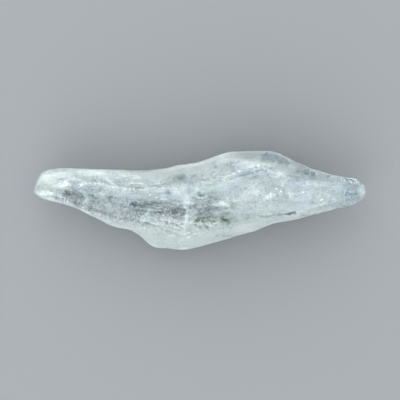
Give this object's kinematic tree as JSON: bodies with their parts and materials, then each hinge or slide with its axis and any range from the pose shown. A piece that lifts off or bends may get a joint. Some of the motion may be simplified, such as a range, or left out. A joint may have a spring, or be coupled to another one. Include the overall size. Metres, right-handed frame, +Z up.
{
  "type": "raw prasiolite crystal",
  "caption": "Rough, broken spindle of pale green milky quartz with long ridges, chipped edges and tapered ends, lying on a small flat face.",
  "frame": {"origin": "on the surface that the crystal rests on, under the middle of its bounding box", "axes": "+X along the crystal towards its pointed end, +Y to the back, where it swells on the right, +Z up"},
  "size_m": [0.0602, 0.0182, 0.0129],
  "materials": {
    "prasiolite": "broken quartz: smooth to finely rippled, vitreous, milky inside with clear windows, pale green"
  },
  "bodies": {
    "root": {"prasiolite_crystal": "prasiolite"}
  },
  "joints": []
}
